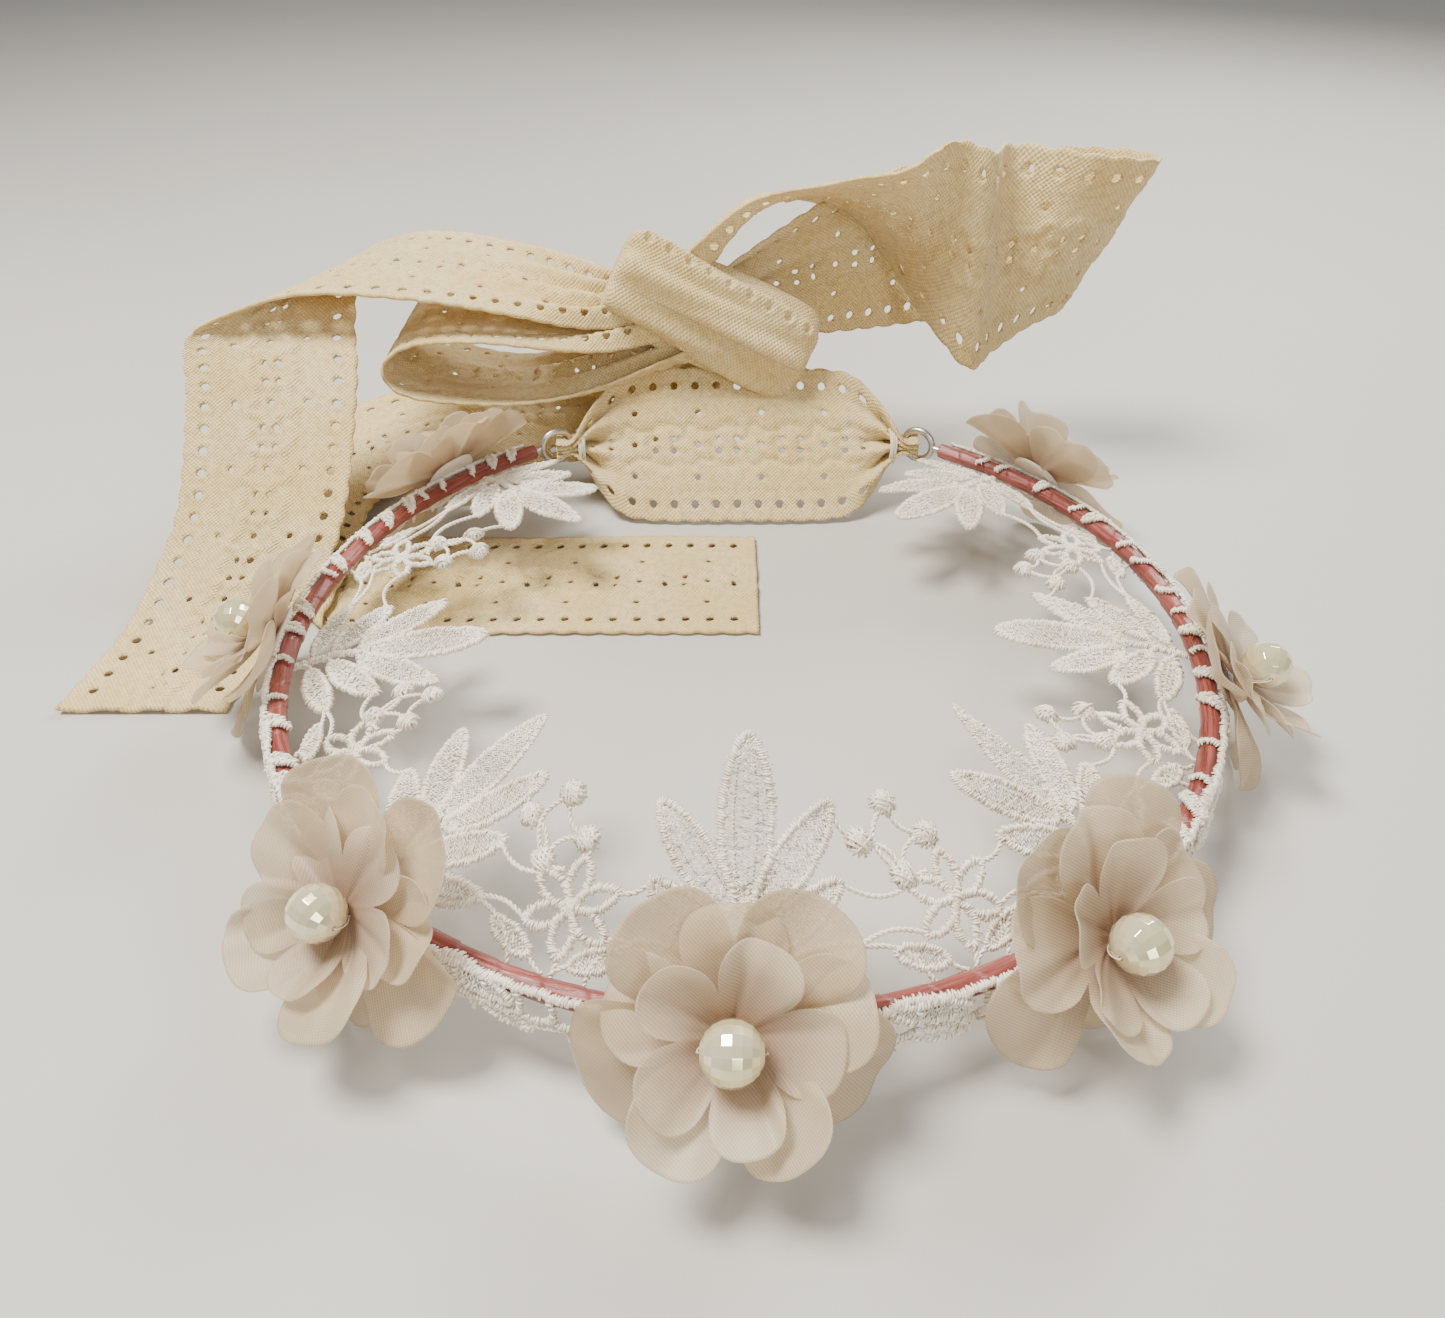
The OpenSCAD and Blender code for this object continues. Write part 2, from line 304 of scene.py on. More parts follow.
def lace_thread_material():
    """Ivory embroidery thread: glossy and twisted, with painted shade in dark beige patches and
    painted glints in near-white flecks.
    """
    n = Nodes("lace_thread")
    patches = n.noise(140, 3)
    painted_shade_noise = n.noise(1500, 2)
    fibre = n.noise(5200, 2)
    tint = n.mix(n.ramp(patches, 0.35, 0.68), colour(228, 213, 186), colour(250, 240, 222))
    # Painted shade: dark beige patches laid over the thread by noise.
    tint = n.mix(n.ramp(painted_shade_noise, 0.5, 0.7, 0.0, 0.6), tint, colour(178, 148, 116))
    # Painted glints: near-white flecks from the fibre noise, which also sets the roughness and
    # bump.
    tint = n.mix(n.ramp(fibre, 0.3, 0.75, 0.0, 0.35), tint, colour(255, 252, 246))
    return n.finish(n.principled(
        Base_Color=tint, Roughness=n.ramp(fibre, 0.2, 0.8, 0.18, 0.42),
        Normal=n.bump(fibre, 0.35, 0.00012), Specular_IOR_Level=0.85, Sheen_Weight=0.15,
        Sheen_Roughness=0.4, Subsurface_Weight=0.08, Subsurface_Scale=0.0008))


def satin_tape_material():
    """Rose-brown satin tape: streaks and filaments along the tape, painted sheen on the raised
    streaks, painted shade in the low ones, painted glints on the filaments, and a soft gloss.
    """
    n = Nodes("satin_tape")
    filament = n.streaks((260, 9000, 1), 2)
    streak_bump_and_painted_light = n.streaks((70, 1500, 1), 3)
    blotch = n.noise(60, 3)
    tint = n.mix(n.ramp(blotch, 0.35, 0.65), colour(112, 46, 34), colour(134, 62, 50))
    # Painted sheen: the raised streaks are lightened.
    tint = n.mix(n.ramp(streak_bump_and_painted_light, 0.48, 0.66, 0.0, 0.7), tint, colour(164, 88, 84))
    # Painted shade: the low streaks are darkened.
    tint = n.mix(n.ramp(streak_bump_and_painted_light, 0.44, 0.34, 0.0, 0.8), tint, colour(84, 22, 14))
    # Painted glints: pink flecks on the filaments, whose noise also sets the roughness and bump.
    tint = n.mix(n.ramp(filament, 0.5, 0.8, 0.0, 0.4), tint, colour(190, 122, 116))
    height = n.add(filament, n.times(streak_bump_and_painted_light, 2.0))
    return n.finish(n.principled(
        Base_Color=tint, Roughness=n.ramp(filament, 0.3, 0.8, 0.24, 0.45),
        Normal=n.bump(height, 0.5, 0.00015), Sheen_Weight=0.15, Sheen_Roughness=0.35))


def organza_material(name, shade, light, cover):
    """Sheer organza: a fine twill of shiny filament that lets light through, with painted shade
    towards the middle and between the twill's threads.
    """
    n = Nodes("organza_" + name)
    # The colour of the painted shade.
    painted_shade = colour(178, 142, 112)
    x, y, _ = n.split(n.coordinates("UV"))
    slant = n.math("SINE", n.times(n.add(x, y), TAU / TWILL_PITCH))
    other = n.math("SINE", n.times(n.math("SUBTRACT", x, y), TAU / TWILL_PITCH))
    weave = n.add(n.times(slant, 0.7), n.times(other, 0.3))
    cloud = n.noise(70, 3)
    wrinkle = n.streaks((90, 420, 1), 2)
    centre = n.math("SQRT", n.add(n.times(x, x), n.times(y, y)))
    tint = n.mix(n.ramp(cloud, 0.32, 0.68), colour(*shade), colour(*light))
    # Painted shade, darker towards the middle of the layer.
    tint = n.mix(n.ramp(centre, 0.012, 0.003, 0.0, 0.8), tint, painted_shade)
    # Painted shade on the twill's low lines, between its threads.
    tint = n.mix(n.ramp(weave, -1.0, 1.0, 0.3, 0.0), tint, painted_shade)
    bump = n.bump(n.add(n.times(weave, 0.3), wrinkle), 0.22, 0.0002)
    cloth = n.principled(Base_Color=tint, Roughness=0.42, Normal=bump, Sheen_Weight=0.35,
                         Sheen_Roughness=0.3, Specular_IOR_Level=0.45)
    lit = n.shine_through(0.45, cloth, tint, bump)
    gap = n.node("BsdfTransparent")
    opacity = n.ramp(weave, -1.0, 1.0, cover - 0.1, cover + 0.08)
    return n.finish(n.node("MixShader", {0: opacity, 1: gap.outputs[0], 2: lit}).outputs[0])


def pearl_material():
    """Pearl coating on flat facets: cream with a faint green cast, mirror bright."""
    n = Nodes("pearl_coat")
    swirl = n.noise(200, 2)
    tint = n.mix(n.ramp(swirl, 0.35, 0.65), colour(230, 218, 166), colour(242, 232, 196))
    return n.finish(n.principled(Base_Color=tint, Metallic=0.5, Roughness=0.09,
                                 Coat_Weight=1.0, Coat_Roughness=0.02, Coat_IOR=1.8))


def ribbon_material():
    """Cream cotton lace: soft yarn, woven across and along, with painted golden shade in its
    hollows.
    """
    n = Nodes("cotton_lace")
    x, y, _ = n.split(n.coordinates("UV"))
    warp = n.math("SINE", n.times(x, TAU / YARN_PITCH))
    weft = n.math("SINE", n.times(y, TAU / YARN_PITCH))
    fuzz = n.noise(2600, 3)
    cloud = n.noise(55, 3)
    knots = n.noise(700, 2, n.coordinates("UV"))
    height = n.add(n.times(n.times(warp, weft), 0.5), fuzz)
    tint = n.mix(n.ramp(cloud, 0.3, 0.7), colour(241, 216, 146), colour(251, 234, 182))
    tint = n.mix(n.ramp(knots, 0.46, 0.62, 0.0, 0.4), tint, colour(214, 180, 108))
    # Painted shade: the low points of the weave darkened towards dark gold.
    tint = n.mix(n.ramp(height, 0.15, 0.8, 0.5, 0), tint, colour(188, 146, 74))
    bump = n.bump(height, 0.7, 0.00035)
    cloth = n.principled(Base_Color=tint, Roughness=0.85, Normal=bump, Sheen_Weight=0.2,
                         Sheen_Roughness=0.6)
    return n.finish(n.shine_through(0.2, cloth, tint, bump))


def fuzzy_material(name, dark, light, roughness):
    """Felt or plain sewing thread."""
    n = Nodes(name)
    fibre = n.noise(3800, 4)
    tint = n.mix(n.ramp(fibre, 0.3, 0.7), colour(*dark), colour(*light))
    return n.finish(n.principled(Base_Color=tint, Roughness=roughness,
                                 Normal=n.bump(fibre, 0.5, 0.0002), Sheen_Weight=0.3))


def wire_material():
    """Drawn steel wire, with fine scratches."""
    n = Nodes("drawn_wire")
    scratch = n.noise(3000, 3)
    tint = n.mix(n.ramp(scratch, 0.3, 0.7), colour(176, 174, 170), colour(206, 204, 200))
    return n.finish(n.principled(Base_Color=tint, Metallic=1.0,
                                 Roughness=n.ramp(scratch, 0.2, 0.8, 0.25, 0.45)))


def stage_material():
    """The plain pale floor."""
    n = Nodes("pale_floor")
    cloud = n.noise(4, 2)
    tint = n.mix(n.ramp(cloud, 0.3, 0.7), colour(182, 178, 169), colour(187, 183, 174))
    return n.finish(n.principled(Base_Color=tint, Roughness=0.6))


LACE_THREAD = lace_thread_material()
SATIN_TAPE = satin_tape_material()
# One organza in three copies, the lower layers painted darker as shade under the upper ones.
ORGANZA = [
    organza_material("lower", (211, 193, 158), (230, 214, 182), 0.68),
    organza_material("middle", (220, 204, 170), (238, 225, 196), 0.64),
    organza_material("upper", (227, 213, 182), (243, 233, 208), 0.62),
]
PEARL_COAT = pearl_material()
COTTON_LACE = ribbon_material()
FELT = fuzzy_material("pad_felt", (205, 190, 168), (228, 216, 198), 0.9)
SEWING_THREAD = fuzzy_material("sewing_thread", (206, 194, 170), (232, 222, 200), 0.6)


# ---- camera, light, floor

def camera():
    """The viewing angle: low over the front flower, looking down across the ring."""
    data = bpy.data.cameras.new("camera")
    data.sensor_width = 36
    data.lens = 26.2
    data.clip_start = 0.002
    obj = link("camera", data)
    obj.location = (-0.0031, -0.1565, 0.1191)
    obj.rotation_euler = (math.radians(50.8), math.radians(0.2), 0)
    bpy.context.scene.camera = obj


def soft_light(name, place, size, power, warmth):
    data = bpy.data.lights.new(name, "AREA")
    data.shape = "DISK"
    data.size = size
    data.energy = power
    data.color = warmth
    obj = link(name, data)
    obj.location = place
    obj.rotation_euler = (Vector((0, 0, 0)) - Vector(place)).to_track_quat("-Z", "Y").to_euler()


def floor_and_light():
    """A wide pale floor, a large key light above and soft fills."""
    half = 4000
    low = FLOOR_Z - 0.2
    corners = [(x * half, y * half, low) for x, y in ((-1, -1), (1, -1), (1, 1), (-1, 1))]
    floor = new_object("floor", corners, [[(0, 1, 2, 3)]], stage_material())
    soft_light("key", (-0.28, 0.0, 0.7), 0.3, 13.5, (1.0, 0.97, 0.93))
    soft_light("back", (0.35, 0.5, 0.45), 0.3, 5.5, (1.0, 0.98, 0.96))
    soft_light("front", (0.3, -0.65, 0.4), 0.4, 3.0, (1.0, 0.99, 0.98))
    world = bpy.data.worlds.new("studio")
    world.use_nodes = True
    background = world.node_tree.nodes["Background"]
    background.inputs["Color"].default_value = (0.93, 0.95, 1.0, 1)
    background.inputs["Strength"].default_value = 0.3
    bpy.context.scene.world = world


# ---- lace trim

def lean_of(phi):
    """How far the lace leans in from upright, in radians, at an angle round the band."""
    soft = np.sqrt(np.degrees(phi) ** 2 + 16) - 4
    share = np.sin(np.radians(np.minimum(soft * 1.15, 90)))
    return np.radians(FRONT_LEAN + (SIDE_LEAN - FRONT_LEAN) * share)


def ring_point(phi, out, z):
    """The point at an angle round the band, out from the wire and up."""
    r = BAND_R + out
    return np.stack([r * np.sin(phi), -r * np.cos(phi), z + 0 * phi], -1)


def lay_lace(flat):
    """Lays flat lace (u, v, w) on the leaning plane, which starts under the band."""
    u, v, w = flat[:, 0], flat[:, 1], flat[:, 2]
    phi = u / BAND_R
    lean = lean_of(phi)
    wave = 0.8 * np.sin(u / 7.3 + 0.6) + 0.5 * np.sin(u / 3.9)
    w = w + wave * np.clip(v / SPRAY_H, 0, 1) ** 1.5 - WRAP_R * 0.9 * np.clip(1 - v / 9, 0, 1)
    out = w * np.cos(lean) - v * np.sin(lean)
    z = w * np.sin(lean) + v * np.cos(lean)
    return ring_point(phi, out, z)


def spread_at(v, angle):
    """How much more of the ring a motif's width covers at height v than at the band."""
    lean = float(lean_of(np.array(math.radians(angle))))
    return 1 / (1 - np.clip(v, 0, None) * math.sin(lean) / BAND_R)


def motif_place(angle):
    """The place of a motif: its own u from the middle, then laid on the trim."""
    middle = math.radians(angle) * BAND_R

    def place(flat):
        moved = flat.copy()
        moved[:, 0] = middle + flat[:, 0] * spread_at(flat[:, 1], angle)
        return lay_lace(moved)
    return place


def seen_from(angle, other, u, v):
    """A point of the motif at one angle, in the coordinates of the motif at another."""
    apart = math.radians(other - angle) * BAND_R
    return (u + apart / spread_at(np.array(v), angle), v)


def resample(path, pitch):
    """Evenly spaced points along a path, with the direction there."""
    steps = np.linalg.norm(np.diff(path, axis=0), axis=1)
    arc = np.concatenate([[0], np.cumsum(steps)])
    count = max(3, int(arc[-1] / pitch))
    s = np.linspace(0, arc[-1], count)
    points = np.stack([np.interp(s, arc, path[:, k]) for k in range(path.shape[1])], -1)
    return points, unit(np.gradient(points, axis=0))


def satin_stitch(threads, path, half_width, height=0.55, pitch=0.36, radius=0.17):
    """Close stitches across a path in the plane of the lace, over a core cord."""
    points, along = resample(path, pitch)
    count = len(points)
    across = np.stack([-along[:, 1], along[:, 0]], -1)
    reach = np.linspace(-1, 1, 5)
    width = half_width * (1 + 0.16 * rng.standard_normal(count))
    slant = 0.16 + 0.1 * rng.standard_normal(count)
    shift = 0.07 * rng.standard_normal((count, 1))
    flat = (points[:, None, :]
            + across[:, None, :] * (reach * width[:, None] + shift)[:, :, None]
            + along[:, None, :] * (reach * slant[:, None])[:, :, None])
    lift = height * (1 - reach ** 2) ** 0.7 * (1 + 0.22 * rng.standard_normal((count, 1)))
    stitches = np.concatenate([flat, lift[:, :, None]], -1)
    thick = radius * np.array([0.75, 1, 1.1, 1, 0.75]) * (
        1 + 0.12 * rng.standard_normal((count, 1)))
    threads.add(stitches, thick)
    core = np.concatenate([points, np.full((count, 1), height * 0.2)], -1)
    threads.add(core[None], half_width * 0.6, sides=6)


def leaf_half(t, width):
    """Half the width of a leaf at a part t of its length: full, with a short point."""
    return width / 2 * np.sin(math.pi * np.clip(t, 0, 1) ** 0.94) ** 0.56


def leaf_edge(base, tip, width, points=40):
    """The outline of a leaf, from its base round its tip and back."""
    base, tip = np.array(base, float), np.array(tip, float)
    along = tip - base
    across = unit(np.array([-along[1], along[0]]))
    t = (1 - np.cos(np.linspace(0, math.pi, points))) / 2
    half = leaf_half(t, width)
    one = base + along * t[:, None] + across * half[:, None]
    other = base + along * t[::-1, None] - across * half[::-1, None]
    return np.concatenate([one, other[1:]])


def stitched_leaf(threads, base, tip, width, rim=0.62):
    """A leaf with a raised satin rim, filled with zigzag columns of short stitches."""
    base, tip = np.array(base, float), np.array(tip, float)
    length = np.linalg.norm(tip - base)
    along = (tip - base) / length
    across = np.array([-along[1], along[0]])
    satin_stitch(threads, leaf_edge(base, tip, width - 2 * rim), rim)
    inner = width - 2.6 * rim
    columns = max(3, int(round(inner / 0.9)))
    rows = int(length / 0.3)
    t = np.linspace(0.05, 0.96, rows)
    zigzag = np.where(np.arange(rows) % 2 == 0, 1, -1)
    gap = 2 * leaf_half(t, inner) / columns
    for column in range(columns):
        middle = (column + 0.5 - columns / 2) * gap
        swing = zigzag * gap * 0.5 * (1 + 0.15 * rng.standard_normal(rows))
        flat = (base + along * (t * length + 0.05 * rng.standard_normal(rows))[:, None]
                + across * (middle + swing)[:, None])
        lift = 0.16 + 0.12 * rng.standard_normal(rows)
        threads.lay(flat, lift, 0.2)
    for share in (-0.25, 0.25):
        spine = (base + along * (t[::4] * length)[:, None]
                 + across * (share * leaf_half(t[::4], inner) * 2)[:, None])
        threads.lay(spine, -0.1, 0.12)


def knot_berry(threads, centre, radius):
    """A knotted berry: bundles of thread that cross one another over a padded heart."""
    reach = np.linspace(-1, 1, 7)
    for bundle in range(5):
        turn = bundle * math.pi / 5 + rng.uniform(-0.2, 0.2)
        way = compass(turn)
        side = np.array([-way[1], way[0]])
        for offset in np.linspace(-0.62, 0.62, 5):
            dome = math.sqrt(1 - offset ** 2)
            end = radius * dome * rng.uniform(0.85, 1.3)
            flat = centre + way * (reach * end)[:, None] + side * offset * radius
            flat = flat + side * (0.14 * rng.standard_normal() * reach)[:, None]
            lift = -0.25 + radius * 0.8 * dome * (1 - reach ** 2) ** 0.6 + 0.07 * bundle
            lift = lift + 0.14 * rng.standard_normal()
            threads.lay(flat, lift, 0.18)
    under = np.linspace(0, TAU, 15)
    for ring in (0.35, 0.75):
        flat = centre + ring * radius * np.stack([np.cos(under), np.sin(under)], -1)
        threads.lay(flat, -0.25, 0.4)


def bent(start, end, bulge, points=9):
    """A curved line between two flat points, pushed sideways by bulge."""
    start, end = np.array(start, float), np.array(end, float)
    t = np.linspace(0, 1, points)[:, None]
    across = np.array([-(end - start)[1], (end - start)[0]])
    return start + (end - start) * t + across * bulge * np.sin(math.pi * t)


# The leaves on one side of a spray, as foot, tip and width: u along the band, v up.
SIDE_LEAVES = [((1.7, 13.6), (11.5, 26.6), 6.6), ((2.0, 8.6), (12.5, 16.2), 6.0),
               ((2.4, 4.7), (15, 7.9), 5.0)]


def bride(threads, start, end, bulge, radius=0.23):
    """A tie of two plies of thread, twisted hard round each other."""
    pitch = 0.22
    turns_per_mm = 0.62
    points, along = resample(bent(start, end, bulge), pitch)
    across = np.stack([-along[:, 1], along[:, 0]], -1)
    turn = np.arange(len(points)) * pitch * turns_per_mm * TAU
    for ply in (0, math.pi):
        shift = np.cos(turn + ply)[:, None] * across * radius * 0.9
        threads.lay(points + shift, 0.12 + np.sin(turn + ply) * radius * 0.9, radius)


def sew(threads, name, place, node):
    """Makes one piece of the lace, in place of its CAD node."""
    obj = threads.make(name, place, LACE_THREAD)
    settle(obj, "crown", node)


def lace_spray(name, angle):
    """A spray of seven leaves on one stem."""
    threads = Threads()
    stitched_leaf(threads, (0, 14.4), (0.3, SPRAY_H), 7.8)
    for side in (-1, 1):
        for (foot_u, foot_v), (tip_u, tip_v), width in SIDE_LEAVES:
            foot = (side * foot_u, foot_v)
            stitched_leaf(threads, foot, (side * tip_u, tip_v), width)
            satin_stitch(threads, bent((0, foot_v - 2.2), foot, 0.12 * side), 0.45)
    satin_stitch(threads, bent((0, -1), (0, 15), 0.02), 0.8, 0.6)
    sew(threads, "lace_spray_%s_stitched" % name, motif_place(angle), "lace_spray_" + name)


def lace_blossom(name, angle):
    """A blossom of six loops, four berries on curling brides, and what ties them on."""
    threads = Threads()
    heart = np.array([1.0, 10.8])
    for turn in np.radians(np.arange(30, 390, 60)):
        way = compass(turn)
        loop = leaf_edge(heart + way * 0.7, heart + way * 6.7, 2.9, 24)
        satin_stitch(threads, loop, 0.62, pitch=0.34)
    knot_berry(threads, heart, 0.9)
    cluster = np.array([-4.8, 20.5])
    berries = [cluster + 5 * compass(turn) for turn in np.radians([85, 175, 265, 355])]
    for k, berry in enumerate(berries):
        knot_berry(threads, berry, 1.75)
        if k != 0:
            bride(threads, berry, berries[(k + 1) % 4], 0.22)
    bride(threads, berries[0], berries[2], -0.3)
    bride(threads, berries[3], heart + [0, 6.6], 0.2)
    bride(threads, berries[2], heart + [-2.6, 4.6], -0.1)
    bride(threads, heart + [0, -6.4], (0.6, 1.2), 0.05, 0.24)
    before = max(a for a in SPRAYS.values() if a < angle)
    after = min(a for a in SPRAYS.values() if a > angle)
    for spray, side in ((before, 1), (after, -1)):
        low = seen_from(angle, spray, side * 14.6, 7.8)
        high = seen_from(angle, spray, side * 12.2, 16.0)
        bride(threads, heart + [-5.6 * side, -3.3], low, -0.14 * side)
        bride(threads, heart + [-5.6 * side, 3.3], high, 0.16 * side)
        bride(threads, low, (-5.5 * side, 1.0), 0.2 * side)
    bride(threads, berries[1], seen_from(angle, before, 10.9, 25.2), 0.15)
    for bank in (-1, 1):
        stitched_leaf(threads, (bank * 3, 3.6), (bank * 9.8, 6.2), 3.8, 0.5)
        bride(threads, (0.5 * bank, 1.6), (bank * 3, 3.6), 0.1, 0.22)
    sew(threads, "lace_blossom_%s_stitched" % name, motif_place(angle), "lace_blossom_" + name)


def lace_heading():
    """The border cord on the band, leaves that lie over it, and the net hanging below."""
    border, over_band, net, net_leaves = [Threads() for _ in range(4)]
    reach = BAND_HALF * BAND_R - 2
    u = np.linspace(-reach, reach, 1400)
    line = np.stack([u, 1.5 + 0.12 * np.sin(u * 1.1)], -1)
    satin_stitch(border, line, 0.62, 0.5, 0.42, 0.21)
    loop_step = 4.6
    loops = int(2 * reach / loop_step)
    starts = np.linspace(-reach, reach, loops + 1)
    for k, (left, right) in enumerate(zip(starts[:-1], starts[1:])):
        middle = (left + right) / 2
        sway = 0.5 * math.sin(k * 2.3)
        stem = bent((left, 1.2), (left + 0.5, -2.3), 0.1)
        satin_stitch(net, stem, 0.42, 0.4, 0.46, 0.2)
        swag = bent((left, -2.4), (right, -2.4), -0.16 + 0.1 * sway, 11)
        satin_stitch(net, swag, 0.44, 0.45, 0.46, 0.2)
        if k % 3 == 1:
            tip = (right + 1.6, -4.7 + sway * 0.4)
            stitched_leaf(net_leaves, (left - 0.4, -3.0), tip, 2.8, 0.45)
        else:
            bride(net, (left, -2.6), (middle + sway, -5.6), 0.2, 0.16)
            bride(net, (middle + sway, -5.6), (right, -2.6), 0.2, 0.16)
            bride(net, (left, -4.2), (right, -4.2), 0.18 * sway, 0.14)
    at = -reach + 3
    while at < reach - 5:
        beside_front = abs(at) > 48
        if beside_front and rng.random() < 0.5:
            stitched_leaf(over_band, (at, 1.0), (at + rng.uniform(1.5, 4.5), 5.6), 2.6, 0.5)
        elif beside_front:
            bow = rng.uniform(-0.3, 0.3)
            satin_stitch(border, bent((at, 1.6), (at + rng.uniform(0, 3), 5.2), bow), 0.7, 0.4)
        at += rng.uniform(4.0, 10.5)
    for angle in BLOSSOMS.values():
        low = math.radians(angle - 9.5) * BAND_R
        stitched_leaf(over_band, (low, 1.5), (low + 11, -0.9), 4.4, 0.6)
        stitched_leaf(over_band, (low + 21, 0.9), (low + 28.5, -1.6), 3.8, 0.55)

    def place(flat):
        v, w = flat[:, 1], flat[:, 2]
        over = np.clip(v, -0.6, None) / (WRAP_R + 0.3)
        r = WRAP_R + 0.3 + np.clip(w, -0.1, None)
        out = r * np.cos(over) + 0.15 * np.clip(-v, 0, None)
        z = r * np.sin(over) + np.minimum(v + 0.6, 0)
        return ring_point(flat[:, 0] / BAND_R, out, z)
    parts = {"border": border, "over_band": over_band, "net": net, "net_leaves": net_leaves}
    for name, threads in parts.items():
        sew(threads, "lace_heading_" + name, place, "lace_heading")


# ---- band

def band_wrap():
    """Satin tape wound round the wire, each turn lapping over the last."""
    rings, sides = 1700, 32
    u = np.linspace(-BAND_HALF, BAND_HALF, rings)[:, None] * BAND_R
    turn = np.linspace(0, TAU, sides, endpoint=False)[None, :]
    step = np.mod(u / TAPE_LAP + turn / TAU, 1)
    folds = 0.045 * np.sin(turn * 7 + 1.3 * np.sin(u / 4)) + 0.03 * np.sin(turn * 11 - u / 3)
    r = WRAP_R - 0.26 + 0.18 * step + folds
    out = r * np.cos(turn)
    phi = np.broadcast_to(u / BAND_R, r.shape)
    verts = ring_point(phi.ravel(), out.ravel(), (r * np.sin(turn)).ravel())
    index = np.arange(rings * sides).reshape(rings, sides)
    caps = np.stack([index[0], index[-1, ::-1]])
    around = WRAP_R * np.abs(turn - math.pi)
    obj = new_object("band_wrap_satin", verts, [ring_walls(index), caps], SATIN_TAPE,
                     uv=grid_uv(u, around + 0.06 * u))
    settle(obj, "crown", "band_wrap")


def end_bindings():
    """Thread wound round the gathered ends of the ribbon."""
    threads = Threads()
    turn = np.linspace(0, 5 * TAU, 150)
    for side in (-1, 1):
        for layer in (0, 1):
            x = side * (BINDING_X + 0.75 * (turn / turn[-1] * 2 - 1) * (1 - 2 * layer))
            r = 3.75 + 0.3 * layer + 0.12 * np.sin(turn * 3.3)
            path = np.stack([x + 0.1 * np.sin(turn * 0.7), BINDING_Y + r * np.cos(turn),
                             -0.5 + r * np.sin(turn)], -1)
            threads.add(path[None], 0.19, up=(1, 0, 0))
    obj = threads.make("end_bindings_wound", lambda p: p, SEWING_THREAD)
    settle(obj, "crown", "end_bindings")


# ---- flowers

def flower_places():
    """Each flower's name, angle and axes, from the pearls' joints."""
    places = []
    for joint in frame["joints"]:
        if joint["name"].startswith("pearl_"):
            pearl_at = np.array(joint["pos_m"]) / MM
            phi = math.atan2(pearl_at[0], -pearl_at[1])
            outward = np.array([math.sin(phi), -math.cos(phi), 0])
            upward = np.array([0, 0, 1.0])
            face = math.cos(FLOWER_TILT) * outward + math.sin(FLOWER_TILT) * upward
            up = math.cos(FLOWER_TILT) * upward - math.sin(FLOWER_TILT) * outward
            side = np.array([math.cos(phi), math.sin(phi), 0])
            wire = ring_point(np.array([phi]), 0, 0.0)[0]
            places.append({"name": joint["child"][len("pearl_"):], "phi": phi,
                           "pearl": pearl_at, "face": face, "up": up, "side": side,
                           "body": joint["child"], "reach": np.linalg.norm(pearl_at - wire)})
    return places


def lobe_values(values, lobe, alpha):
    """A value for each lobe, passing smoothly to its neighbour's in the notch between."""
    beside = values[(lobe + np.sign(alpha).astype(int)) % LOBES]
    share = 0.5 * np.clip((np.abs(alpha) - 0.7) / 0.3, 0, 1) ** 2
    return values[lobe] * (1 - share) + beside * share


